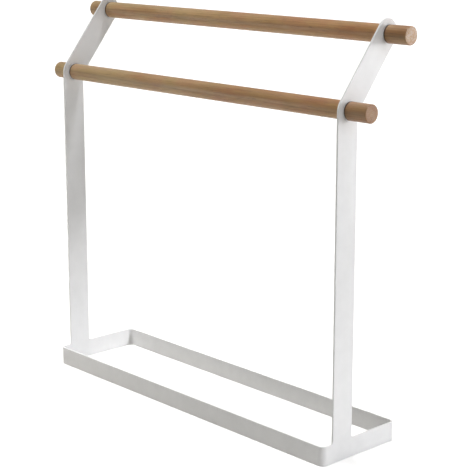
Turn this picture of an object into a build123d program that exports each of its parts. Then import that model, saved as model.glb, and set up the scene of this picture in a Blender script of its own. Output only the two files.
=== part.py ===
"""Free-standing bath towel stand: a white steel frame with two round wooden bars.

Millimetres. +X runs along the bars, -Y is the front, +Z is up. The origin is the centre
of the base ring at floor level. The stand is the same on its left and on its right.
"""

import os
from math import cos, radians, sin, tan

from build123d import *

# --- Base ring: a steel band standing on its edge ---
base_length = 640.0
base_depth = 160.0
band_height = 30.0
plate_thickness = 3.0
corner_radius = 10.0  # outside of the bent corners
return_length = 30.0  # straight part of an end frame beyond each bent corner

# --- End frames: the short side of the base, the upright and the arm are one cut plate ---
upright_width = 40.0
upright_setback = 21.5  # from the front of the base to the front edge of the upright
foot_fillet = 4.0  # where the upright grows out of the band
elbow_fillet = 10.0  # inside of the bend, behind the lower bar
arm_angle = 38.0  # leans back from the vertical

# --- Bars ---
bar_diameter = 27.0
bar_inset = 24.0  # from the front edge of the plate to the axis of each bar
lower_bar_height = 516.0
bar_spacing = 129.0  # axis to axis, along the arm
knob_length = 40.0
free_end_rounding = 1.5  # outer rim of a knob
seat_chamfer = 0.5  # where wood meets steel

# --- Hidden joint at each end of each bar ---
bolt_diameter = 6.0
bolt_in_bar = 16.0
bolt_in_knob = 25.0
bolt_point_length = 4.0
bolt_point_diameter = 2.4
bolt_chamfer = 0.8
insert_diameter = 10.0
insert_length = 13.0
insert_recess = 0.5  # below the end face of the bar

# --- Clearances ---
plate_hole_clearance = 0.3  # radial, bolt in the steel plate
thread_clearance = 0.05  # radial, bolt in the insert and in the knob
insert_clearance = 0.05  # radial, insert in the bar
hole_end_clearance = 2.0  # empty depth beyond each end of the bolt

# --- Worked out from the sizes above ---
half_length = base_length / 2
half_depth = base_depth / 2
inner_face = half_length - plate_thickness
rail_end = half_length - corner_radius - return_length
bar_radius = bar_diameter / 2
bolt_radius = bolt_diameter / 2
plate_hole_radius = bolt_radius + plate_hole_clearance
thread_hole_radius = bolt_radius + thread_clearance
insert_radius = insert_diameter / 2
upright_front = upright_setback - half_depth
upright_back = upright_front + upright_width
back_reach = upright_width - bar_inset  # from the axis of a bar to the back edge of the plate
lean = radians(arm_angle)
lower_axis = (upright_front + bar_inset, lower_bar_height)
upper_axis = (lower_axis[0] + bar_spacing * sin(lean), lower_axis[1] + bar_spacing * cos(lean))
bar_axes = {"lower": lower_axis, "upper": upper_axis}


def rod(start, end, radius, axis):
    """A round solid parallel to X, between two x positions, about a (y, z) axis."""
    solid = extrude(Plane.YZ.offset(start) * Circle(radius), amount=end - start)
    return Pos(0, *axis) * solid


def band_ring():
    """The whole closed band, before it is divided into rails and end frames."""
    outside = RectangleRounded(base_length, base_depth, corner_radius)
    inside = RectangleRounded(
        base_length - 2 * plate_thickness,
        base_depth - 2 * plate_thickness,
        corner_radius - plate_thickness,
    )
    return extrude(outside - inside, amount=band_height)


def band_stretch(x_low, x_high, y_low, y_high):
    """The part of the band that lies between two x and two y positions."""
    block = Box(x_high - x_low, y_high - y_low, band_height)
    middle = Pos((x_low + x_high) / 2, (y_low + y_high) / 2, band_height / 2)
    return band_ring() & (middle * block)


def corner(outline, y, z):
    """The corner of a side outline that is nearest to a point."""
    return outline.vertices().sort_by_distance((y, z, 0))[0]


def arm_outline():
    """The leaning arm, which starts at the lower bar and ends in a half circle."""
    centre_line = upright_width / 2 - bar_inset
    strip = Pos(centre_line, bar_spacing / 2) * Rectangle(upright_width, bar_spacing)
    rounded_top = Pos(centre_line, bar_spacing) * Circle(upright_width / 2)
    return Pos(*lower_axis) * Rot(0, 0, -arm_angle) * (strip + rounded_top)


def side_outline():
    """One end frame seen from its side, as (y, z): band, upright, elbow and arm."""
    band = Pos(0, band_height / 2) * Rectangle(base_depth - 2 * corner_radius, band_height)
    upright_middle = (upright_front + upright_back) / 2
    upright = Rectangle(upright_width, lower_bar_height)
    front_half = Pos(-bar_inset / 2, 0) * Rectangle(bar_inset, 2 * bar_inset)
    elbow = Pos(*lower_axis) * (Circle(bar_inset) & front_half)
    outline = band + Pos(upright_middle, lower_bar_height / 2) * upright + elbow + arm_outline()
    feet = [corner(outline, y, band_height) for y in (upright_front, upright_back)]
    outline = fillet(feet, foot_fillet)
    bend = corner(outline, upright_back, lower_bar_height - back_reach * tan(lean / 2))
    return fillet(bend, elbow_fillet)


def right_end_frame():
    """Laser-cut plate whose lower corners are bent round to meet the two rails."""
    plate = extrude(Plane.YZ.offset(inner_face) * side_outline(), amount=plate_thickness)
    returns = band_stretch(rail_end, half_length, -half_depth, half_depth)
    frame = plate + returns
    for axis in bar_axes.values():
        frame -= rod(inner_face, half_length, plate_hole_radius, axis)
    return frame


def bar(axis):
    """Wooden bar between the end frames, drilled at both ends for a threaded insert."""
    wood = rod(-inner_face, inner_face, bar_radius, axis)
    wood = chamfer(wood.edges().filter_by(GeomType.CIRCLE), seat_chamfer)
    pocket_radius = insert_radius + insert_clearance
    pocket_floor = inner_face - insert_recess - insert_length
    tip_room = inner_face - bolt_in_bar - hole_end_clearance
    right_hole = rod(pocket_floor, inner_face, pocket_radius, axis)
    right_hole += rod(tip_room, inner_face, plate_hole_radius, axis)
    return wood - right_hole - mirror(right_hole, Plane.YZ)


def right_knob(axis):
    """Short wooden end piece outside the plate, with a blind hole for the bolt."""
    outer_end = half_length + knob_length
    wood = rod(half_length, outer_end, bar_radius, axis)
    rims = wood.edges().filter_by(GeomType.CIRCLE).sort_by(Axis.X)
    wood = chamfer(rims[0], seat_chamfer)
    rims = wood.edges().filter_by(GeomType.CIRCLE).sort_by(Axis.X)
    wood = fillet(rims[-1], free_end_rounding)
    hole_end = half_length + bolt_in_knob + hole_end_clearance
    return wood - rod(half_length, hole_end, thread_hole_radius, axis)


def right_insert(axis):
    """Threaded brass sleeve, pressed into the end of a bar."""
    mouth = inner_face - insert_recess
    sleeve = rod(mouth - insert_length, mouth, insert_radius, axis)
    return sleeve - rod(mouth - insert_length, mouth, thread_hole_radius, axis)


def right_bolt(axis):
    """Hanger bolt: wood thread and point in the knob, machine thread in the insert."""
    bar_tip = inner_face - bolt_in_bar
    shank_end = half_length + bolt_in_knob - bolt_point_length
    shank = rod(bar_tip, shank_end, bolt_radius, axis)
    rims = shank.edges().filter_by(GeomType.CIRCLE).sort_by(Axis.X)
    shank = chamfer(rims[0], bolt_chamfer)
    point = Cone(bolt_radius, bolt_point_diameter / 2, bolt_point_length)
    point_middle = shank_end + bolt_point_length / 2
    return shank + Pos(point_middle, *axis) * Rot(0, 90, 0) * point


def both_sides(right_piece):
    """The right-hand piece and its mirror image on the left."""
    return [right_piece, mirror(right_piece, Plane.YZ)]


def fastener_set(make_right_piece):
    """The four alike fasteners of the stand, as separate solids in one node."""
    pieces = [piece for axis in bar_axes.values() for piece in both_sides(make_right_piece(axis))]
    return Compound(children=[solid for piece in pieces for solid in piece.solids()])


def all_nodes():
    """Every piece of the stand, by the name of its node."""
    nodes = {
        "front_rail": band_stretch(-rail_end, rail_end, -half_depth, 0),
        "back_rail": band_stretch(-rail_end, rail_end, 0, half_depth),
    }
    nodes["right_end_frame"], nodes["left_end_frame"] = both_sides(right_end_frame())
    for level, axis in bar_axes.items():
        nodes[f"{level}_bar"] = bar(axis)
        nodes[f"{level}_right_knob"], nodes[f"{level}_left_knob"] = both_sides(right_knob(axis))
    nodes["bar_thread_inserts"] = fastener_set(right_insert)
    nodes["knob_hanger_bolts"] = fastener_set(right_bolt)
    return nodes


os.makedirs("parts", exist_ok=True)
for name, shape in all_nodes().items():
    export_step(shape, f"parts/{name}.step")
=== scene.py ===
# %% [markdown]
# # A bath towel stand, finished in Blender
# The stand is a white steel frame with two round wooden bars. This lesson gives each part a surface
# worth looking at. The flat bars and the threaded fittings are made with Geometry Nodes, because
# they follow a simple rule. The end plates are cut flat and then bent, and the wood is a profile
# spun round its axis, as in a workshop. Paint, wood and metal are node materials with their own
# grain.

# %% Load the frame
import math

import bmesh
import bpy
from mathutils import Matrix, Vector


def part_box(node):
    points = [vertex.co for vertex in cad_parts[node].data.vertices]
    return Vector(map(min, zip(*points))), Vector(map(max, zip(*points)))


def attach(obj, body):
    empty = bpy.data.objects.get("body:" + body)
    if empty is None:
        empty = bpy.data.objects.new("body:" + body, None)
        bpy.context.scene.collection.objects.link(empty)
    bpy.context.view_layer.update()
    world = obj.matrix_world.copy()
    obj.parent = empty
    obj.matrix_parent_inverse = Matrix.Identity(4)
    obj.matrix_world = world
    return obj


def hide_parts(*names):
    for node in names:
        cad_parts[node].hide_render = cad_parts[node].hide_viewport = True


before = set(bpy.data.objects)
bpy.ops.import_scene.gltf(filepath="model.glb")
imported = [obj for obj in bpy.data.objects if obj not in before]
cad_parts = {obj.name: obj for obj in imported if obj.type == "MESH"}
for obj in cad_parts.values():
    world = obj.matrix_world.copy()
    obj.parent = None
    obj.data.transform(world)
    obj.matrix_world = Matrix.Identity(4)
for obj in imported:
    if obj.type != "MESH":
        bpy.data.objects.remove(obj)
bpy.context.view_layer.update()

# %% [markdown]
# ## The maker's sizes
# Most sizes are read from the frame, so a piece cannot drift away from its CAD part. The outline of
# the end plate needs a few more, which are the radii and widths on its drawing. Everything is in
# metres. `MM` keeps those few readable.

# %% Sizes read from the frame, and those on the plate's drawing
MM = 0.001
BAR_LEVELS = ("lower", "upper")
SIDES = ("left", "right")


def bar_axis(level):
    """(y, z) of the line through the middle of a bar."""
    low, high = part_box(f"{level}_bar")
    return ((low.y + high.y) / 2, (low.z + high.z) / 2)


rail_low, rail_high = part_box("front_rail")
plate_low, plate_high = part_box("right_end_frame")
plate_thickness = rail_high.y - rail_low.y
band_height = rail_high.z
half_length = plate_high.x
half_depth = plate_high.y
return_end = plate_low.x
bar_low, bar_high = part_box("lower_bar")
bar_radius = max(bar_high.y - bar_low.y, bar_high.z - bar_low.z) / 2
lower_axis, upper_axis = bar_axis("lower"), bar_axis("upper")
bar_spacing = math.dist(lower_axis, upper_axis)
arm_lean = math.atan2(upper_axis[0] - lower_axis[0], upper_axis[1] - lower_axis[1])

corner_radius = 10 * MM  # outside of the bent corners
upright_width = 40 * MM
upright_front = -half_depth + 21.5 * MM
foot_fillet = 4 * MM
elbow_fillet = 10 * MM
bolt_hole_radius = 3.3 * MM
cut_edge_radius = 0.45 * MM  # paint and deburring round every cut edge
print(f"band {band_height / MM:.1f} high, plate {plate_thickness / MM:.1f} thick")
print(f"bars {2 * bar_radius / MM:.1f} across, arm leans {math.degrees(arm_lean):.1f} degrees")

# %% [markdown]
# ## Shading that keeps flat faces flat
# Painted steel and turned wood both have broad flat or round faces that meet in tiny rounded edges.
# Plain smooth shading would bend the light across the broad faces. So each corner of each face gets
# its own normal: the average of the faces round that point that lean nearly the same way, with big
# faces counting for more. Edges sharper than the limit stay crisp.

# %% Soft normals, and turning a modifier's result into a plain mesh
CRISP_ANGLE = math.radians(40)


def soften(mesh):
    """Give every face corner an area-weighted normal, without smoothing over crisp edges."""
    around = [[] for _ in mesh.vertices]
    for face in mesh.polygons:
        for vertex in face.vertices:
            around[vertex].append(face.index)
    limit = math.cos(CRISP_ANGLE)
    normals = [face.normal.copy() for face in mesh.polygons]
    areas = [face.area for face in mesh.polygons]
    corner_normals = []
    for face in mesh.polygons:
        own = normals[face.index]
        for vertex in face.vertices:
            total = Vector()
            for other in around[vertex]:
                if normals[other].dot(own) > limit:
                    total += normals[other] * areas[other]
            corner_normals.append(total.normalized() if total.length > 0 else own)
    mesh.polygons.foreach_set("use_smooth", [True] * len(mesh.polygons))
    mesh.normals_split_custom_set(corner_normals)


def plain_mesh(piece):
    """Keep what the modifiers made as an ordinary mesh, and remove the modifiers."""
    evaluated = piece.evaluated_get(bpy.context.evaluated_depsgraph_get())
    made = bpy.data.meshes.new_from_object(evaluated)
    piece.modifiers.clear()
    piece.data = made
    made.name = piece.name


def close_up(shape):
    """Merge points that meet and turn every face outwards."""
    bmesh.ops.remove_doubles(shape, verts=shape.verts, dist=1e-7)
    bmesh.ops.recalc_face_normals(shape, faces=shape.faces)


def new_piece(name, shape, material):
    """A mesh object at the origin from a bmesh, which is freed."""
    mesh = bpy.data.meshes.new(name)
    shape.to_mesh(mesh)
    shape.free()
    mesh.materials.append(material)
    piece = bpy.data.objects.new(name, mesh)
    bpy.context.scene.collection.objects.link(piece)
    return piece


def report(piece):
    """Check that a mesh is closed, and print its size."""
    shape = bmesh.new()
    shape.from_mesh(piece.data)
    open_edges = sum(1 for edge in shape.edges if not edge.is_manifold)
    volume = shape.calc_volume(signed=True)
    triangles = sum(len(face.verts) - 2 for face in shape.faces)
    shape.free()
    print(f"{piece.name}: {triangles} triangles, {volume * 1e6:.1f} cm3, {open_edges} open edges")


print(f"edges sharper than {math.degrees(CRISP_ANGLE):.0f} degrees stay crisp")

# %% [markdown]
# ## Tools for node trees
# Every material and every Geometry Nodes tree is written out in code. `put` adds one node: a value
# given for a socket is typed in, and another node's output is wired in. `new_group` makes a node
# group with named inputs and outputs. That keeps each tree readable from top to bottom.

# %% Adding nodes and groups


def put(tree, kind, sockets=None, **settings):
    """Add a node, set its properties, and fill or wire its inputs."""
    made = tree.nodes.new(kind)
    for name, value in settings.items():
        setattr(made, name, value)
    for name, value in (sockets or {}).items():
        if isinstance(value, bpy.types.NodeSocket):
            tree.links.new(value, made.inputs[name])
        else:
            made.inputs[name].default_value = value
    return made


def new_group(name, kind, inputs, outputs):
    """A node group. Inputs are (name, socket type, default), outputs are (name, socket type)."""
    group = bpy.data.node_groups.new(name, kind)
    for label, socket_type, default in inputs:
        socket = group.interface.new_socket(label, in_out="INPUT", socket_type=socket_type)
        if default is not None:
            socket.default_value = default
    for label, socket_type in outputs:
        group.interface.new_socket(label, in_out="OUTPUT", socket_type=socket_type)
    return group, put(group, "NodeGroupInput").outputs


def math_node(tree, operation, first, second=0.0):
    """One step of arithmetic on numbers."""
    return put(tree, "ShaderNodeMath", {0: first, 1: second}, operation=operation).outputs[0]


def vector_node(tree, operation, first, second=(0.0, 0.0, 0.0)):
    """One step of arithmetic on vectors."""
    return put(tree, "ShaderNodeVectorMath", {0: first, 1: second}, operation=operation).outputs[0]


def noise(tree, vector, scale, detail=2.0, roughness=0.5):
    """Smooth noise between 0 and 1, with its middle at one half."""
    sockets = {"Vector": vector, "Scale": scale, "Detail": detail, "Roughness": roughness}
    return put(tree, "ShaderNodeTexNoise", sockets).outputs[0]


def remap(tree, value, low, high, to_low=0.0, to_high=1.0, smooth=True):
    """Map the range from low to high onto another range, and hold the value at its ends."""
    ends = {"From Min": low, "From Max": high, "To Min": to_low, "To Max": to_high}
    kind = "SMOOTHSTEP" if smooth else "LINEAR"
    return put(tree, "ShaderNodeMapRange", {"Value": value, **ends}, interpolation_type=kind).outputs[0]


def mix_colours(tree, share, first, second, blend="MIX"):
    """Mix two colours by a share."""
    made = put(tree, "ShaderNodeMix", {0: share, 6: first, 7: second}, data_type="RGBA")
    made.blend_type = blend
    return made.outputs[2]


def object_point(tree):
    """Where a point lies on the stand, in metres. It stays with the piece from every side."""
    return put(tree, "ShaderNodeTexCoord").outputs["Object"]


# %% [markdown]
# ## Handling marks, shared by every finish
# Nothing in a bathroom stays evenly clean. Hands, damp cloths and dust change how a surface
# shines, in patches a few centimetres wide and in fine specks. It could be painted on each
# material by hand, but one group of two noises does it for all of them. It puts out a patch mask
# and a speck mask, and each material decides how much they matter.

# %% The handling group
handling, inlet = new_group(
    "handling_marks",
    "ShaderNodeTree",
    [("Patch size", "NodeSocketFloat", 0.05), ("Speck size", "NodeSocketFloat", 0.002)],
    [("Patches", "NodeSocketFloat"), ("Specks", "NodeSocketFloat")],
)
per_patch = math_node(handling, "DIVIDE", 1.0, inlet["Patch size"])
per_speck = math_node(handling, "DIVIDE", 1.0, inlet["Speck size"])
patches = remap(handling, noise(handling, object_point(handling), per_patch, 3.0), 0.38, 0.66)
specks = remap(handling, noise(handling, object_point(handling), per_speck, 1.0), 0.66, 0.74)
put(handling, "NodeGroupOutput", {"Patches": patches, "Specks": specks})


def use_group(tree, group, **values):
    """Place a group in a material with its own values; an underscore in a name is a space."""
    made = put(tree, "ShaderNodeGroup", node_tree=group)
    for label, value in values.items():
        made.inputs[label.replace("_", " ")].default_value = value
    return made.outputs


print("handling group:", len(handling.nodes), "nodes")

# %% [markdown]
# ## White powder coat
# The steel is sprayed with dry powder, which melts into a thick, even skin in the oven. Close up it
# has a slight orange-peel texture, with dimples one or two millimetres across. An image could hold
# that, but two noises of different size make it at any distance. The handling group adds a little
# dust and makes the sheen uneven.

# %% A material with its shader, and the powder coat


def new_material(name):
    """An empty node material with its Principled shader, wired to the output."""
    material = bpy.data.materials.new(name)
    material.use_nodes = True
    tree = material.node_tree
    tree.nodes.clear()
    shader = put(tree, "ShaderNodeBsdfPrincipled")
    put(tree, "ShaderNodeOutputMaterial", {"Surface": shader.outputs[0]})
    return material, tree, shader


def feed(tree, shader, colour, roughness, height, depth):
    """Wire a surface's colour, roughness and height into the shader."""
    tree.links.new(colour, shader.inputs["Base Color"])
    tree.links.new(roughness, shader.inputs["Roughness"])
    bump = put(tree, "ShaderNodeBump", {"Strength": 1.0, "Distance": depth, "Height": height})
    tree.links.new(bump.outputs[0], shader.inputs["Normal"])


COAT_WHITES = ((0.86, 0.86, 0.855, 1), (0.885, 0.885, 0.88, 1))
DUST_GREY = (0.60, 0.58, 0.55, 1)
PEEL_DEPTH = 0.000025
coat, coat_tree, coat_shader = new_material("white_powder_coat")
coat_point = object_point(coat_tree)
coat_marks = use_group(coat_tree, handling, Patch_size=0.06, Speck_size=0.0016)
orange_peel = noise(coat_tree, coat_point, 620.0, 1.0)
spray_waves = noise(coat_tree, coat_point, 55.0, 2.0)
coat_height = mix_colours(coat_tree, 0.35, orange_peel, spray_waves)
coat_shade = remap(coat_tree, spray_waves, 0.3, 0.7)
coat_colour = mix_colours(coat_tree, coat_shade, *COAT_WHITES)
dust = math_node(coat_tree, "MULTIPLY", coat_marks["Specks"], 0.05)
coat_colour = mix_colours(coat_tree, dust, coat_colour, DUST_GREY)
coat_gloss = remap(coat_tree, coat_marks["Patches"], 0.0, 1.0, 0.42, 0.50)
feed(coat_tree, coat_shader, coat_colour, coat_gloss, coat_height, PEEL_DEPTH)
coat_shader.inputs["IOR"].default_value = 1.48
print("powder coat:", len(coat_tree.nodes), "nodes")

# %% [markdown]
# ## Turned hardwood
# The bars and knobs are turned from a mid-brown hardwood with a thin satin lacquer. The tree's rings
# run the length of a bar, so on the round side they show as long faint bands, and on a cut end
# as arcs. Between them lie fine fibres and short dark pores, a fraction of a millimetre wide.
# The rings are made as distance from a pith line beside the piece, the fibres and pores as
# noise drawn out along X. Softer noise makes some parts warmer, more olive or pinker, and mottles
# the cut ends. The wood reddens towards +X, and painted shade makes a narrow dark line where it meets a
# plate.
# One group holds it all, and each piece sets its own pith and tint.

# %% The timber group
timber, inlet = new_group(
    "turned_timber",
    "ShaderNodeTree",
    [
        ("Pith", "NodeSocketVector", (0.0, 0.0, 0.5)),
        ("Ring width", "NodeSocketFloat", 0.0032),
        ("Dark wood", "NodeSocketColor", (0.30, 0.165, 0.07, 1)),
        ("Light wood", "NodeSocketColor", (0.54, 0.36, 0.18, 1)),
        ("End lightening", "NodeSocketFloat", 0.35),
    ],
    [
        ("Color", "NodeSocketColor"),
        ("Roughness", "NodeSocketFloat"),
        ("Height", "NodeSocketFloat"),
    ],
)

# How often each pattern changes in a metre, along the fibres and across them.
WANDER = (2.2, 9.0)
FIBRES = (13.0, 520.0)
FINE_FIBRES = (22.0, 2100.0)
FIGURE = (9.0, 60.0)
PORES = (70.0, 2600.0)
BLOTCHES = (22.0, 60.0)
END_MOTTLE = (1.0, 420.0)
RING_STRAY = 0.012  # how far a ring strays from its circle, in metres

WARM_TINT = (0.92, 0.60, 0.44, 1)
OLIVE_TINT = (0.88, 0.94, 0.82, 1)
PINK_TINT = (0.99, 0.86, 0.92, 1)
RED_TINT = (0.95, 0.79, 0.68, 1)
PORE_BROWN = (0.10, 0.055, 0.028, 1)
# Painted shade for the line where the wood meets a plate.
SEAT_SHADE_COLOUR = (0.07, 0.045, 0.028, 1)
END_COLOURS = ((0.60, 0.38, 0.22, 1), (0.72, 0.60, 0.50, 1))

timber_point = vector_node(timber, "SUBTRACT", object_point(timber), inlet["Pith"])


def drawn_out(pattern, detail=1.0, roughness=0.5):
    """Noise drawn out along X, as wood fibres are."""
    along, across = pattern
    stretched = vector_node(timber, "MULTIPLY", timber_point, (along, across, across))
    return noise(timber, stretched, 1.0, detail, roughness)


wander = math_node(timber, "MULTIPLY", drawn_out(WANDER), RING_STRAY)
from_pith = put(timber, "ShaderNodeSeparateXYZ", {0: timber_point}).outputs
off_line = put(timber, "ShaderNodeCombineXYZ", {1: from_pith[1], 2: from_pith[2]}).outputs[0]
distance = put(timber, "ShaderNodeVectorMath", {0: off_line}, operation="LENGTH").outputs["Value"]
distance = math_node(timber, "ADD", distance, wander)
ring = math_node(timber, "FRACT", math_node(timber, "DIVIDE", distance, inlet["Ring width"]))
late_wood = remap(timber, ring, 0.35, 0.85)
late_wood = math_node(timber, "SUBTRACT", late_wood, remap(timber, ring, 0.9, 1.0))
fibres = drawn_out(FIBRES, 3.0, 0.6)
fine_fibres = drawn_out(FINE_FIBRES)
figure = drawn_out(FIGURE, 2.0)
pores = remap(timber, drawn_out(PORES), 0.60, 0.70)
blotches = drawn_out(BLOTCHES)

# The tone runs from light wood at 0 to dark wood at 1.
tone = math_node(timber, "MULTIPLY", late_wood, 0.18)
for pattern, least, most in ((fibres, 0.04, 0.36), (fine_fibres, 0.0, 0.14), (figure, 0.02, 0.22)):
    tone = math_node(timber, "ADD", tone, remap(timber, pattern, 0.30, 0.70, least, most, False))
timber_colour = mix_colours(timber, tone, inlet["Light wood"], inlet["Dark wood"])
for pattern, none_at, full_at, share, tint in (
    (figure, 0.45, 0.65, 0.35, WARM_TINT),
    (blotches, 0.48, 0.62, 0.4, OLIVE_TINT),
    (blotches, 0.48, 0.36, 0.5, PINK_TINT),
):
    parts = math_node(timber, "MULTIPLY", remap(timber, pattern, none_at, full_at), share)
    timber_colour = mix_colours(timber, parts, timber_colour, tint, "MULTIPLY")
pore_depth = math_node(timber, "MULTIPLY", pores, 0.45)
timber_colour = mix_colours(timber, pore_depth, timber_colour, PORE_BROWN)
place_along = put(timber, "ShaderNodeSeparateXYZ", {0: object_point(timber)}).outputs[0]
redder = remap(timber, place_along, -0.30, 0.30)
timber_colour = mix_colours(timber, redder, timber_colour, RED_TINT, "MULTIPLY")

# A face that looks along X is a cut end.
facing = put(timber, "ShaderNodeTexCoord").outputs["Normal"]
facing = put(timber, "ShaderNodeSeparateXYZ", {0: facing}).outputs[0]
cut_end = remap(timber, math_node(timber, "ABSOLUTE", facing), 0.90, 0.98)
end_share = math_node(timber, "MULTIPLY", cut_end, inlet["End lightening"])
end_mottle = remap(timber, drawn_out(END_MOTTLE), 0.38, 0.62)
end_colour = mix_colours(timber, end_mottle, *END_COLOURS)
timber_colour = mix_colours(timber, end_share, timber_colour, end_colour)

# Painted shade: a dark line where the wood meets a plate, fading out a few millimetres from the middle of
# the plate.
from_plate = math_node(timber, "SUBTRACT", math_node(timber, "ABSOLUTE", place_along), half_length)
from_plate = math_node(timber, "ABSOLUTE", math_node(timber, "ADD", from_plate, plate_thickness / 2))
painted_seat_shade = remap(timber, from_plate, 2.8 * MM, 5.6 * MM, 0.9, 0.0)
timber_colour = mix_colours(timber, painted_seat_shade, timber_colour, SEAT_SHADE_COLOUR)
timber_gloss = remap(timber, tone, 0.0, 1.0, 0.40, 0.54)
timber_gloss = math_node(timber, "ADD", timber_gloss, math_node(timber, "MULTIPLY", cut_end, 0.12))
timber_height = math_node(timber, "SUBTRACT", fibres, math_node(timber, "MULTIPLY", pores, 0.8))
results = {"Color": timber_colour, "Roughness": timber_gloss, "Height": timber_height}
put(timber, "NodeGroupOutput", results)
print("timber group:", len(timber.nodes), "nodes")

# %% [markdown]
# ## One wood material for each turned piece
# No two pieces of wood are alike, so every bar and knob has its own pith line. The upper bar's
# colours are set lighter, the right-hand knobs' darker, and the upper knobs' cut ends paler. The
# lacquer is a thin clear coat, which gives the soft line of light along the top of each bar.

# %% The wood materials
DARK_WOOD = (0.285, 0.172, 0.075)
LIGHT_WOOD = (0.545, 0.377, 0.196)
WOOD_DUST = (0.50, 0.44, 0.37, 1)
GRAIN_DEPTH = 0.00006


def lacquered_wood(piece_name, pith, ring_width, brightness=1.0, end_lightening=0.35):
    """The timber group with this piece's own pith and tint, under a satin lacquer."""
    material, tree, shader = new_material("lacquered_wood_" + piece_name)
    grain = use_group(
        tree,
        timber,
        Pith=pith,
        Ring_width=ring_width,
        Dark_wood=(*(part * brightness for part in DARK_WOOD), 1),
        Light_wood=(*(part * brightness for part in LIGHT_WOOD), 1),
        End_lightening=end_lightening,
    )
    marks = use_group(tree, handling, Patch_size=0.035, Speck_size=0.0012)
    dulled = math_node(tree, "MULTIPLY", marks["Patches"], 0.06)
    gloss = math_node(tree, "ADD", grain["Roughness"], dulled)
    dust = math_node(tree, "MULTIPLY", marks["Specks"], 0.08)
    colour = mix_colours(tree, dust, grain["Color"], WOOD_DUST)
    feed(tree, shader, colour, gloss, grain["Height"], GRAIN_DEPTH)
    shader.inputs["Coat Weight"].default_value = 0.25
    shader.inputs["Coat Roughness"].default_value = 0.35
    return material


BAR_RINGS = 0.0034
KNOB_RINGS = 0.0028
PITH_STEP = 0.021
wood = {}
for index, level in enumerate(BAR_LEVELS):
    y, z = bar_axis(level)
    name = level + "_bar"
    pith = (0.3 * index, y + 0.034, z - 0.027 + 0.052 * index)
    wood[name] = lacquered_wood(name, pith, BAR_RINGS, 1.0 + 0.14 * index)
    for order, side in enumerate(SIDES):
        name = f"{level}_{side}_knob"
        pith = (0.7 + order, y - 0.026 + PITH_STEP * order, z + 0.03 - PITH_STEP * index)
        brightness = 0.80 + 0.08 * index if side == "right" else 1.0
        wood[name] = lacquered_wood(name, pith, KNOB_RINGS, brightness, 0.10 + 0.35 * index)
print("wood materials:", sorted(wood))

# %% [markdown]
# ## Brass and zinc-plated steel
# The inserts are machined brass and the bolts are zinc-plated steel. Both show fine rings from the
# lathe and a slightly blotchy tarnish. The rings depend only on the place along X.

# %% The turned-metal group and its two metals
turned_metal, inlet = new_group(
    "turned_metal",
    "ShaderNodeTree",
    [("Bright", "NodeSocketColor", (0.7, 0.7, 0.7, 1)), ("Dull", "NodeSocketColor", (0.5, 0.5, 0.5, 1))],
    [
        ("Color", "NodeSocketColor"),
        ("Roughness", "NodeSocketFloat"),
        ("Height", "NodeSocketFloat"),
    ],
)
TOOL_RINGS = 5200.0  # per metre along X
TOOL_DEPTH = 0.00002
metal_point = object_point(turned_metal)
along_lathe = vector_node(turned_metal, "MULTIPLY", metal_point, (TOOL_RINGS, 0, 0))
tool_rings = noise(turned_metal, along_lathe, 1.0)
tarnish = remap(turned_metal, noise(turned_metal, metal_point, 240.0, 3.0), 0.35, 0.7)
metal_colour = mix_colours(turned_metal, tarnish, inlet["Bright"], inlet["Dull"])
metal_gloss = remap(turned_metal, tool_rings, 0.2, 0.8, 0.22, 0.42)
results = {"Color": metal_colour, "Roughness": metal_gloss, "Height": tool_rings}
put(turned_metal, "NodeGroupOutput", results)


def machined_metal(name, bright, dull):
    """A turned metal in its own two tones."""
    material, tree, shader = new_material(name)
    surface = use_group(tree, turned_metal, Bright=bright, Dull=dull)
    feed(tree, shader, surface["Color"], surface["Roughness"], surface["Height"], TOOL_DEPTH)
    shader.inputs["Metallic"].default_value = 1.0
    return material


brass = machined_metal("machined_brass", (0.83, 0.64, 0.30, 1), (0.62, 0.44, 0.20, 1))
zinc = machined_metal("zinc_plated_steel", (0.66, 0.67, 0.68, 1), (0.48, 0.49, 0.50, 1))
print("metals:", brass.name, zinc.name)

# %% [markdown]
# ## Rails: flat bar on edge
# The front and the back of the base are lengths of flat steel bar standing on edge. Flat bar is the
# same all along, so it is a small rectangle with rounded corners swept along a line. Geometry
# Nodes do that with named sizes. The ends are left square, because they are butt welded to
# the end frames and the weld is ground flush.

# %% The flat-bar tree and the two rails
flat_bar, inlet = new_group(
    "flat_bar",
    "GeometryNodeTree",
    [
        ("Geometry", "NodeSocketGeometry", None),
        ("Length", "NodeSocketFloat", 0.5),
        ("Height", "NodeSocketFloat", 0.03),
        ("Thickness", "NodeSocketFloat", 0.003),
        ("Edge radius", "NodeSocketFloat", 0.0005),
        ("Middle", "NodeSocketVector", (0.0, 0.0, 0.0)),
        ("Finish", "NodeSocketMaterial", None),
    ],
    [("Geometry", "NodeSocketGeometry")],
)
EDGE_STEPS = 4
half = math_node(flat_bar, "DIVIDE", inlet["Length"], 2.0)
right_end = put(flat_bar, "ShaderNodeCombineXYZ", {0: half}).outputs[0]
left_end = vector_node(flat_bar, "MULTIPLY", right_end, (-1.0, 0.0, 0.0))
centre_line = put(flat_bar, "GeometryNodeCurvePrimitiveLine", {"Start": left_end, "End": right_end})
section = put(
    flat_bar,
    "GeometryNodeCurvePrimitiveQuadrilateral",
    {"Width": inlet["Thickness"], "Height": inlet["Height"]},
)
rounded = put(
    flat_bar,
    "GeometryNodeFilletCurve",
    {"Curve": section.outputs[0], "Radius": inlet["Edge radius"], "Count": EDGE_STEPS},
    mode="POLY",
)
swept = put(
    flat_bar,
    "GeometryNodeCurveToMesh",
    {"Curve": centre_line.outputs[0], "Profile Curve": rounded.outputs[0], "Fill Caps": True},
)
placed = put(
    flat_bar,
    "GeometryNodeTransform",
    {"Geometry": swept.outputs[0], "Translation": inlet["Middle"]},
)
real = put(flat_bar, "GeometryNodeRealizeInstances", {0: placed.outputs[0]})
painted = put(
    flat_bar,
    "GeometryNodeSetMaterial",
    {"Geometry": real.outputs[0], "Material": inlet["Finish"]},
)
put(flat_bar, "NodeGroupOutput", {"Geometry": painted.outputs[0]})


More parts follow.
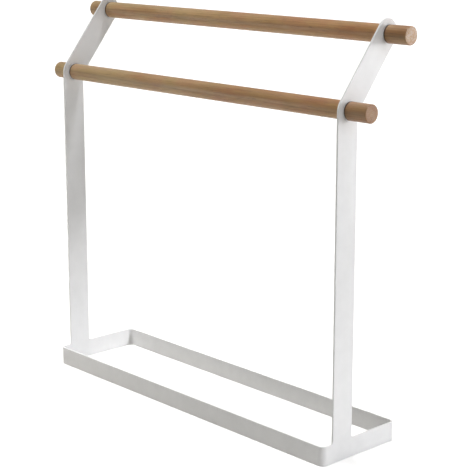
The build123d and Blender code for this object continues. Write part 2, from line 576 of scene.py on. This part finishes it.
def run_tree(piece, tree, values):
    """Add the tree as a modifier, set its named inputs by identifier, and keep the result."""
    modifier = piece.modifiers.new(tree.name, "NODES")
    modifier.node_group = tree
    items = [item for item in tree.interface.items_tree if item.in_out == "INPUT"]
    sockets = {item.name: item.identifier for item in items}
    for label, value in values.items():
        modifier[sockets[label]] = value
    plain_mesh(piece)


def settle(piece, node):
    """Shade a finished piece and put it in the place of its CAD part."""
    soften(piece.data)
    report(piece)
    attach(piece, "root")
    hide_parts(node)


def rail(name):
    """One rail of flat bar, exactly where its CAD part is."""
    low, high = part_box(name)
    piece = new_piece(name + "_flat_bar", bmesh.new(), coat)
    sizes = {
        "Length": high.x - low.x,
        "Height": high.z - low.z,
        "Thickness": high.y - low.y,
        "Edge radius": cut_edge_radius,
        "Middle": (low + high) / 2,
        "Finish": coat,
    }
    run_tree(piece, flat_bar, sizes)
    settle(piece, name)


rail("front_rail")
rail("back_rail")

# %% [markdown]
# ## End frames: cut flat, then bent
# Each end frame is one flat steel plate. It is cut in one piece: the short side of the base, the
# upright and the leaning arm. Then its two lower ends are bent round to meet the rails. The
# mesh is made the same way. Its outline is drawn flat with real arcs, with rounded cut edges and
# two bolt holes, and then every point of the two ends is wrapped round the bend.

# %% The flat outline of the plate
ARC_STEP = math.radians(5)


def arc(centre, radius, start, end):
    """Points along an arc, from one angle to another in degrees."""
    start, end = math.radians(start), math.radians(end)
    steps = max(2, math.ceil(abs(end - start) / ARC_STEP))
    angles = [start + (end - start) * k / steps for k in range(steps + 1)]
    return [(centre[0] + radius * math.cos(a), centre[1] + radius * math.sin(a)) for a in angles]


def on_arm(across, along):
    """A point given across the arm, from the bars' line to the back, and along it."""
    c, s = math.cos(arm_lean), math.sin(arm_lean)
    return (lower_axis[0] + across * c + along * s, lower_axis[1] - across * s + along * c)


bend_middle_radius = corner_radius - plate_thickness / 2
bend_start = half_depth - corner_radius
bend_length = bend_middle_radius * math.pi / 2
straight_return = half_length - corner_radius - return_end
flat_half = bend_start + bend_length + straight_return
SPARE = 5 * MM  # extra length at each end of the outline, cut off square later

upright_back = upright_front + upright_width
front_reach = lower_axis[0] - upright_front
back_reach = upright_back - lower_axis[0]
elbow_corner = lower_axis[1] - back_reach * math.tan(arm_lean / 2)
elbow_start = elbow_corner - elbow_fillet * math.tan(arm_lean / 2)
lean_degrees = math.degrees(arm_lean)
foot_top = band_height + foot_fillet
outline = [(-flat_half - SPARE, 0.0), (flat_half + SPARE, 0.0)]
outline += [(flat_half + SPARE, band_height)]
outline += arc((upright_back + foot_fillet, foot_top), foot_fillet, 270, 180)
outline += arc((upright_back + elbow_fillet, elbow_start), elbow_fillet, 180, 180 - lean_degrees)
tip_centre = on_arm((back_reach - front_reach) / 2, bar_spacing)
outline += arc(tip_centre, upright_width / 2, -lean_degrees, 180 - lean_degrees)
outline += arc(lower_axis, front_reach, 180 - lean_degrees, 180)
outline += arc((upright_front - foot_fillet, foot_top), foot_fillet, 0, -90)
outline += [(-flat_half - SPARE, band_height)]
print(f"cut blank {2 * flat_half / MM:.1f} long, outline of {len(outline)} points")

# %% [markdown]
# ### Giving the flat plate its thickness
# Solidify and Bevel modifiers could do this too. Here the rounded edge is built directly: each
# contour is repeated a little further in or out at every level of the thickness, and the first and
# last levels are filled. The edge then has the same radius round every arc and hole.

# %% A plate with rounded edges from an outline and its holes


def inset(points, distance):
    """Move a closed outline inwards, or outwards for a hole that runs the other way."""
    moved = []
    for index, point in enumerate(points):
        before = Vector(points[index - 1])
        here = Vector(point)
        after = Vector(points[(index + 1) % len(points)])
        first, second = (here - before).normalized(), (after - here).normalized()
        inward = Vector((-first.y - second.y, first.x + second.x)) / 2
        moved.append(here + inward * distance / inward.length_squared)
    return moved


def plate_from(contours, thickness, edge_radius, edge_steps):
    """A flat plate in X and Y: rings round each contour, and two faces with the holes cut out."""
    shape = bmesh.new()
    half_thickness = thickness / 2
    quarter = [math.pi / 2 * k / edge_steps for k in range(edge_steps + 1)]
    levels = [
        (edge_radius * (1 - math.sin(a)), edge_radius * (1 - math.cos(a)) - half_thickness)
        for a in quarter
    ]
    levels += [(back, -height) for back, height in reversed(levels)]
    rims = {0: [], len(levels) - 1: []}
    for contour in contours:
        rings = []
        for back, height in levels:
            rings.append([shape.verts.new((p.x, p.y, height)) for p in inset(contour, back)])
        for lower, upper in zip(rings, rings[1:]):
            for index in range(len(contour)):
                other = index - 1
                shape.faces.new((lower[other], lower[index], upper[index], upper[other]))
        for level in rims:
            ring = rings[level]
            rims[level] += [shape.edges.get((ring[k - 1], ring[k])) for k in range(len(ring))]
    for level, edges in rims.items():
        bmesh.ops.triangle_fill(shape, use_beauty=True, edges=edges, normal=(0, 0, 1))
    close_up(shape)
    return shape


def bolt_hole(axis):
    """A hole's contour, which runs the other way round from the outline."""
    return arc(axis, bolt_hole_radius, 360, 0)[:-1]


print("each bolt hole has", len(bolt_hole(lower_axis)), "points")

# %% [markdown]
# ### Bending the ends
# The blank gets extra cuts across each bend, so that it has points to bend at. A point before the
# bend stays where it is, a point within it goes round an arc, and a point past it runs on straight.
# The length along the middle of the sheet stays the same, much as it does in a press.

# %% Cut the ends square, wrap them round the bends, and stand the plate up
BEND_STEPS = 12


def cut_square(shape, at, outward):
    """Cut off everything beyond a line across the blank, and close the cut."""
    everything = shape.verts[:] + shape.edges[:] + shape.faces[:]
    cut = bmesh.ops.bisect_plane(
        shape, geom=everything, plane_co=(at, 0, 0), plane_no=(outward, 0, 0), clear_outer=True
    )
    edges = [item for item in cut["geom_cut"] if isinstance(item, bmesh.types.BMEdge)]
    bmesh.ops.edgeloop_fill(shape, edges=edges)


def bend_point(point):
    """Where a point of the flat blank (s, z, offset) ends up on the right-hand frame."""
    s, z, outward = point
    side = math.copysign(1.0, s)
    past = abs(s) - bend_start
    face = half_length - plate_thickness / 2
    if past <= 0:
        return Vector((face + outward, s, z))
    if past <= bend_length:
        turn = past / bend_middle_radius
        reach = bend_middle_radius + outward
        return Vector(
            (
                half_length - corner_radius + reach * math.cos(turn),
                side * (bend_start + reach * math.sin(turn)),
                z,
            )
        )
    x = half_length - corner_radius - (past - bend_length)
    return Vector((x, side * (half_depth - plate_thickness / 2 + outward), z))


def end_frame(side):
    """The right-hand frame, or its mirror image for the left."""
    contours = [outline, bolt_hole(lower_axis), bolt_hole(upper_axis)]
    shape = plate_from(contours, plate_thickness, cut_edge_radius, EDGE_STEPS)
    for way in (-1, 1):
        cut_square(shape, way * flat_half, way)
        for step in range(BEND_STEPS + 1):
            at = way * (bend_start + bend_length * step / BEND_STEPS)
            everything = shape.verts[:] + shape.edges[:] + shape.faces[:]
            bmesh.ops.bisect_plane(shape, geom=everything, plane_co=(at, 0, 0), plane_no=(1, 0, 0))
    for vertex in shape.verts:
        vertex.co = bend_point(vertex.co)
        if side == "left":
            vertex.co.x = -vertex.co.x
    close_up(shape)
    name = side + "_end_frame"
    settle(new_piece(name + "_plate", shape, coat), name)


for side in SIDES:
    end_frame(side)

# %% [markdown]
# ## Bars and knobs: turned on a lathe
# A turned piece is a profile taken once round its axis. The profile is drawn from the bottom of one
# hole, out over the end and the round side, to the bottom of the other hole or the middle of the
# free end. A small chamfer meets the steel, and the free end of a knob has a softened rim.

# %% Turning a profile
ROUND_STEPS = 96


def turned(profile, axis, closed=False, steps=ROUND_STEPS):
    """A solid of revolution parallel to X from (x, radius) points, about a (y, z) axis."""
    shape = bmesh.new()
    rings = []
    for x, radius in profile:
        if radius == 0:
            rings.append([shape.verts.new((x, axis[0], axis[1]))] * steps)
            continue
        ring = []
        for k in range(steps):
            a = 2 * math.pi * k / steps
            ring.append(shape.verts.new((x, axis[0] + radius * math.cos(a), axis[1] + radius * math.sin(a))))
        rings.append(ring)
    pairs = list(zip(rings, rings[1:]))
    if closed:
        pairs.append((rings[-1], rings[0]))
    for first, second in pairs:
        for k in range(steps):
            corners = (first[k - 1], first[k], second[k], second[k - 1])
            shape.faces.new(dict.fromkeys(corners))
    close_up(shape)
    return shape


def mirrored(profile):
    """The other half of a profile that is the same on the left and on the right."""
    return [(-x, radius) for x, radius in reversed(profile)]


print("turned wood has", ROUND_STEPS, "steps round its axis")

# %% [markdown]
# ### The two profiles
# A bar is the same at both ends, so only its right half is drawn. Each end has a stepped hole, wide
# for the insert and narrow for the bolt's tip. A knob is drawn for the right, and mirrored.

# %% The bars and the knobs
seat_chamfer = 0.5 * MM
rim_radius = 1.5 * MM
insert_recess = 0.5 * MM
insert_length = 13 * MM
insert_hole_radius = 5.05 * MM
tip_room = 18 * MM  # depth of the clear hole for the bolt's end
knob_hole_radius = 3.05 * MM
knob_hole_depth = 27 * MM
inner_face = half_length - plate_thickness

right_half = [
    (inner_face - seat_chamfer, bar_radius),
    (inner_face, bar_radius - seat_chamfer),
    (inner_face, insert_hole_radius),
    (inner_face - insert_recess - insert_length, insert_hole_radius),
    (inner_face - insert_recess - insert_length, bolt_hole_radius),
    (inner_face - tip_room, bolt_hole_radius),
    (inner_face - tip_room, 0),
]
bar_profile = mirrored(right_half) + right_half

free_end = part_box("lower_right_knob")[1].x
knob_profile = [
    (half_length + knob_hole_depth, 0),
    (half_length + knob_hole_depth, knob_hole_radius),
    (half_length, knob_hole_radius),
    (half_length, bar_radius - seat_chamfer),
    (half_length + seat_chamfer, bar_radius),
]
rim_middle = (free_end - rim_radius, bar_radius - rim_radius)
knob_profile += arc(rim_middle, rim_radius, 90, 0) + [(free_end, 0)]

for level in BAR_LEVELS:
    axis = bar_axis(level)
    shapes = {level + "_bar": bar_profile}
    shapes[level + "_right_knob"] = knob_profile
    shapes[level + "_left_knob"] = mirrored(knob_profile)
    for name, profile in shapes.items():
        piece = new_piece("turned_" + name, turned(profile, axis), wood[name])
        settle(piece, name)

# %% [markdown]
# ## Hidden fittings: four bolts and four inserts
# Each knob hides a hanger bolt. Its coarse wood thread sits in the knob, its plain shank passes
# through the plate, and its fine machine thread screws into a brass insert in the bar. A thread is a
# ridge swept along a spiral, and the same fitting repeats at four seats. Both are rules, so Geometry
# Nodes do them: one tree for a thread, and one that threads a turned core and sets it at the seats.

# %% The thread tree
thread_inputs = [
    ("Start", "NodeSocketFloat", 0.0),
    ("Length", "NodeSocketFloat", 0.01),
    ("Pitch", "NodeSocketFloat", 0.001),
    ("Root radius", "NodeSocketFloat", 0.002),
    ("Depth", "NodeSocketFloat", 0.0005),
]
thread, inlet = new_group(
    "thread_ridge", "GeometryNodeTree", thread_inputs, [("Geometry", "NodeSocketGeometry")]
)
POINTS_PER_TURN = 20
SUNK = 0.0002  # the ridge starts this far inside the core, so the two always overlap
RIDGE_SHARE = 0.42  # half the width of the ridge, as a share of the pitch
turns = math_node(thread, "DIVIDE", inlet["Length"], inlet["Pitch"])
spine_radius = math_node(thread, "SUBTRACT", inlet["Root radius"], SUNK)
spiral = put(
    thread,
    "GeometryNodeCurveSpiral",
    {
        "Resolution": POINTS_PER_TURN,
        "Rotations": turns,
        "Start Radius": spine_radius,
        "End Radius": spine_radius,
        "Height": inlet["Length"],
    },
)
upright_frame = put(thread, "GeometryNodeSetCurveNormal", {"Curve": spiral.outputs[0]}, mode="Z_UP")
diamond = put(thread, "GeometryNodeCurvePrimitiveCircle", {"Resolution": 4, "Radius": 1.0})
ridge_height = math_node(thread, "ADD", inlet["Depth"], SUNK)
ridge_width = math_node(thread, "MULTIPLY", inlet["Pitch"], RIDGE_SHARE)
ridge_size = put(thread, "ShaderNodeCombineXYZ", {0: ridge_height, 1: ridge_width, 2: 1.0})
ridge_section = put(
    thread,
    "GeometryNodeTransform",
    {"Geometry": diamond.outputs[0], "Scale": ridge_size.outputs[0]},
)
ridge = put(
    thread,
    "GeometryNodeCurveToMesh",
    {
        "Curve": upright_frame.outputs[0],
        "Profile Curve": ridge_section.outputs[0],
        "Fill Caps": True,
    },
)
along_x = put(thread, "ShaderNodeCombineXYZ", {0: inlet["Start"]})
laid = put(
    thread,
    "GeometryNodeTransform",
    {
        "Geometry": ridge.outputs[0],
        "Translation": along_x.outputs[0],
        "Rotation": (0.0, math.pi / 2, 0.0),
    },
)
put(thread, "NodeGroupOutput", {"Geometry": laid.outputs[0]})
print("thread tree:", len(thread.nodes), "nodes")

# %% [markdown]
# ### One tree for a whole set
# The second tree takes a turned core as its geometry, adds a fine and a coarse thread, and puts a
# copy at each end of each bar. The copies at the left are turned half round. It ends by making the
# copies real, so that they can be kept as one plain mesh.

# %% The tree that threads a core and repeats it at the four seats
fitting_set, inlet = new_group(
    "fitting_set",
    "GeometryNodeTree",
    [
        ("Geometry", "NodeSocketGeometry", None),
        ("Lower seat", "NodeSocketVector", (0.0, 0.0, 0.0)),
        ("Upper seat", "NodeSocketVector", (0.0, 0.0, 0.0)),
        ("Finish", "NodeSocketMaterial", None),
    ]
    + [("Fine " + label.lower(), kind, value) for label, kind, value in thread_inputs]
    + [("Coarse " + label.lower(), kind, value) for label, kind, value in thread_inputs],
    [("Geometry", "NodeSocketGeometry")],
)
threaded = put(fitting_set, "GeometryNodeJoinGeometry")
fitting_set.links.new(inlet["Geometry"], threaded.inputs[0])
for grade in ("Fine ", "Coarse "):
    values = {label: inlet[grade + label.lower()] for label, _, _ in thread_inputs}
    made = put(fitting_set, "GeometryNodeGroup", node_tree=thread)
    for label, value in values.items():
        fitting_set.links.new(value, made.inputs[label])
    fitting_set.links.new(made.outputs[0], threaded.inputs[0])
all_seats = put(fitting_set, "GeometryNodeJoinGeometry")
for flip, turn in ((1.0, 0.0), (-1.0, math.pi)):
    lower = vector_node(fitting_set, "MULTIPLY", inlet["Lower seat"], (flip, 1.0, 1.0))
    upper = vector_node(fitting_set, "MULTIPLY", inlet["Upper seat"], (flip, 1.0, 1.0))
    seats = put(
        fitting_set,
        "GeometryNodeMeshLine",
        {"Count": 2, "Start Location": lower, "Offset": upper},
        mode="END_POINTS",
    )
    copies = put(
        fitting_set,
        "GeometryNodeInstanceOnPoints",
        {
            "Points": seats.outputs[0],
            "Instance": threaded.outputs[0],
            "Rotation": (0.0, 0.0, turn),
        },
    )
    fitting_set.links.new(copies.outputs[0], all_seats.inputs[0])
real = put(fitting_set, "GeometryNodeRealizeInstances", {0: all_seats.outputs[0]})
finished = put(
    fitting_set,
    "GeometryNodeSetMaterial",
    {"Geometry": real.outputs[0], "Material": inlet["Finish"]},
)
put(fitting_set, "NodeGroupOutput", {"Geometry": finished.outputs[0]})
print("fitting tree:", len(fitting_set.nodes), "nodes")

# %% [markdown]
# ### The two cores
# A core is the fitting without its threads, so it is turned like the wood, with fewer steps round.
# Both cores are drawn with X = 0 at the inner face of the plate, and the bar on the minus side.

# %% Turn the two cores and run the tree
thread_inset = 0.7 * MM  # from the end of a fitting to the start of its thread
bolt_radius = 3.0 * MM
fine_root = 2.45 * MM
coarse_root = 2.15 * MM
bolt_tip = -16.0 * MM
tip_chamfer = 0.6 * MM
shank_start = -0.1 * MM
shank_end = 3.1 * MM
coarse_start = 4.0 * MM
point_start = 24.0 * MM
point_radius = 1.2 * MM
bolt_end = 28.0 * MM
bolt_core = [
    (bolt_tip, 0),
    (bolt_tip, fine_root - tip_chamfer),
    (bolt_tip + tip_chamfer, fine_root),
    (shank_start - 0.5 * MM, fine_root),
    (shank_start, bolt_radius),
    (shank_end, bolt_radius),
    (shank_end + 0.8 * MM, coarse_root),
    (point_start, coarse_root),
    (bolt_end, point_radius),
    (bolt_end, 0),
]
insert_root = 4.35 * MM
insert_radius = 5.0 * MM
insert_chamfer = 0.4 * MM
collar_length = 1.0 * MM
mouth = -insert_recess
far_rim = mouth - insert_length
insert_core = [
    (far_rim, knob_hole_radius),
    (far_rim, insert_root - insert_chamfer),
    (far_rim + insert_chamfer, insert_root),
    (mouth - collar_length - insert_chamfer, insert_root),
    (mouth - collar_length, insert_radius),
    (mouth, insert_radius),
    (mouth, knob_hole_radius),
]
seat = {level: Vector((inner_face, *bar_axis(level))) for level in BAR_LEVELS}
places = {"Lower seat": seat["lower"], "Upper seat": seat["upper"]}
bolt_threads = {
    "Fine start": bolt_tip + thread_inset,
    "Fine length": 14.5 * MM,
    "Fine pitch": 1.0 * MM,
    "Fine root radius": fine_root,
    "Fine depth": bolt_radius - fine_root,
    "Coarse start": coarse_start,
    "Coarse length": 19.5 * MM,
    "Coarse pitch": 2.4 * MM,
    "Coarse root radius": coarse_root,
    "Coarse depth": bolt_radius - coarse_root,
}
insert_threads = {
    "Fine start": far_rim + thread_inset,
    "Fine length": 4.5 * MM,
    "Fine pitch": 1.5 * MM,
    "Fine root radius": insert_root,
    "Fine depth": insert_radius - insert_root,
    "Coarse start": far_rim + 6.0 * MM,
    "Coarse length": 5.2 * MM,
    "Coarse pitch": 1.8 * MM,
    "Coarse root radius": insert_root,
    "Coarse depth": insert_radius - insert_root,
}
FITTING_STEPS = 40


def fittings(name, core, closed, node, metal, threads):
    """Four alike fittings from one turned core, at the four seats."""
    piece = new_piece(name, turned(core, (0.0, 0.0), closed, FITTING_STEPS), metal)
    run_tree(piece, fitting_set, {**places, **threads, "Finish": metal})
    settle(piece, node)
    low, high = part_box(node)
    points = [vertex.co for vertex in piece.data.vertices]
    below = [low[i] - min(point[i] for point in points) for i in range(3)]
    above = [max(point[i] for point in points) - high[i] for i in range(3)]
    print(name, "goes past its CAD box by", [round(v / MM, 2) for v in below + above], "mm")


fittings("hanger_bolts", bolt_core, False, "knob_hanger_bolts", zinc, bolt_threads)
fittings("brass_inserts", insert_core, True, "bar_thread_inserts", brass, insert_threads)

# %% [markdown]
# ## Floor and surroundings
# The stand is shown as in a bright studio, on a wide pale floor. A modelled room could do it, but a
# plain world and a plain floor are simpler. The world looks white to the camera and faintly white in
# glossy paint, and lights the stand only a little. The floor glows for the camera alone, so that it
# reads as white without lighting the steel from below.

# %% Floor and surroundings
scene = bpy.context.scene
scene.view_settings.view_transform = "Standard"
WHITE = (1, 1, 1, 1)
FLOOR_COLOUR = (0.69, 0.68, 0.66, 1)
FLOOR_HALF = 40.0
FLOOR_LIFT = 0.55
FLOOR_DROP = 0.0001  # just under the steel, so that the two never share a face
SURROUND = 0.05
ROOM_IN_GLOSS = 0.2

floor_shape = bmesh.new()
bmesh.ops.create_grid(floor_shape, x_segments=8, y_segments=8, size=FLOOR_HALF)
floor_paint, floor_tree, floor_shader = new_material("studio_floor")
floor_shader.inputs["Base Color"].default_value = FLOOR_COLOUR
floor_shader.inputs["Roughness"].default_value = 0.9
floor_shader.inputs["Specular IOR Level"].default_value = 0.1
floor_shader.inputs["Emission Color"].default_value = WHITE
seen = put(floor_tree, "ShaderNodeLightPath").outputs["Is Camera Ray"]
glow = math_node(floor_tree, "MULTIPLY", seen, FLOOR_LIFT)
floor_tree.links.new(glow, floor_shader.inputs["Emission Strength"])
floor = new_piece("studio_floor", floor_shape, floor_paint)
floor.location.z = -FLOOR_DROP

world = bpy.data.worlds.new("studio")
scene.world = world
world.use_nodes = True
world_tree = world.node_tree
world_tree.nodes.clear()
ray = put(world_tree, "ShaderNodeLightPath").outputs
brightness = math_node(world_tree, "MULTIPLY", ray["Is Glossy Ray"], ROOM_IN_GLOSS)
brightness = math_node(world_tree, "MAXIMUM", brightness, ray["Is Camera Ray"])
brightness = math_node(world_tree, "MAXIMUM", brightness, SURROUND)
surround = put(world_tree, "ShaderNodeBackground", {"Color": WHITE, "Strength": brightness})
put(world_tree, "ShaderNodeOutputWorld", {"Surface": surround.outputs[0]})
print(f"floor {2 * FLOOR_HALF:.0f} m wide, world strength {SURROUND}")

# %% [markdown]
# ## Lights
# A broad soft light overhead does most of the work, and a smaller one low on the right throws the
# soft shadows of the bars down the inside of the left upright. Both are suns, because a far light
# keeps its strength over the whole stand. Lamps close by fill in what they miss. Four of those have
# narrow beams, so that each brightens one part without the rest: the right upright, the back rail,
# the foot of the left upright and the right side of the base. A warm one at the front left lifts
# the rails.

# %% Lights
COOL_WHITE = (0.95, 0.96, 1.0)
PALE_BLUE_WHITE = (0.96, 0.96, 1.0)
WARM_WHITE = (1.0, 0.96, 0.88)


def aim(thing, direction):
    """Turn a light or a camera so that it looks along a direction."""
    thing.rotation_euler = Vector(direction).to_track_quat("-Z", "Y").to_euler()


def hang(name, kind, energy, settings):
    """Add a light with its settings to the scene."""
    light = bpy.data.lights.new(name, kind)
    light.energy = energy
    for setting, value in settings.items():
        setattr(light, setting, value)
    thing = bpy.data.objects.new(name, light)
    scene.collection.objects.link(thing)
    return thing


def sun(name, azimuth, elevation, width, strength, **settings):
    """A far light. Azimuth 0 comes from +X and 90 from +Y; width is how wide it looks."""
    thing = hang(name, "SUN", strength, {"angle": math.radians(width), **settings})
    a, e = math.radians(azimuth), math.radians(elevation)
    aim(thing, (-math.cos(a) * math.cos(e), -math.sin(a) * math.cos(e), -math.sin(e)))


def lamp(name, kind, place, target, energy, **settings):
    """A light at a place, aimed at a target. It isn't seen by the camera itself."""
    thing = hang(name, kind, energy, settings)
    thing.location = place
    aim(thing, Vector(target) - Vector(place))
    thing.visible_camera = False


sun("overhead", -166.0, 81.5, 15.0, 2.75)
sun("low_right", 7.0, 27.0, 5.0, 0.46, color=COOL_WHITE)
lamp(
    "near_right", "AREA", (0.95, 0.42, 0.36), (0.32, -0.04, 0.34), 0.335,
    shape="RECTANGLE", size=0.2, size_y=1.0, spread=math.radians(44.0), color=PALE_BLUE_WHITE,
)
lamp("back_right", "AREA", (0.75, 0.55, 0.62), (0.32, 0.0, 0.45), 1.0, shape="DISK", size=0.15)
lamp(
    "front_left", "AREA", (-0.65, -0.70, 0.40), (-0.25, 0.0, 0.2), 1.1,
    shape="DISK", size=0.4, color=WARM_WHITE,
)
lamp(
    "low_accent", "SPOT", (1.483, 0.493, 1.268), (-0.317, 0.01, -0.005), 94.0,
    spot_size=math.radians(12.0), spot_blend=1.0, shadow_soft_size=0.12, color=COOL_WHITE,
)
lamp(
    "base_accent", "SPOT", (1.9, 0.5, 0.55), (0.32, 0.0, -0.02), 36.0,
    spot_size=math.radians(17.0), spot_blend=1.0, shadow_soft_size=0.15, color=COOL_WHITE,
)
lamp(
    "rail_accent", "AREA", (-0.14, -0.50, 0.90), (-0.14, 0.10, 0.0), 0.056,
    shape="RECTANGLE", size=0.9, size_y=0.04, spread=math.radians(16.0),
)
print("lights:", sorted(light.name for light in bpy.data.lights))

# %% [markdown]
# ## Camera
# A long lens from the front right shows the stand from a little above, with its right end nearer.
# A small shift of the lens sets how high the stand sits in the frame without tilting the camera more.

# %% Camera
LOOK_DOWN = 12.4  # degrees
HEADING = 47.016
camera_data = bpy.data.cameras.new("viewpoint")
camera_data.lens = 104.465
camera_data.shift_y = -0.0596
camera_data.clip_end = 200.0
camera = bpy.data.objects.new("viewpoint", camera_data)
camera.location = (1.5840, -1.4310, 0.7923)
camera.rotation_euler = (math.radians(90 - LOOK_DOWN), 0.0, math.radians(HEADING))
scene.collection.objects.link(camera)
scene.camera = camera
print(f"camera {camera.location.length:.2f} m from the stand's origin, lens {camera_data.lens:.0f} mm")
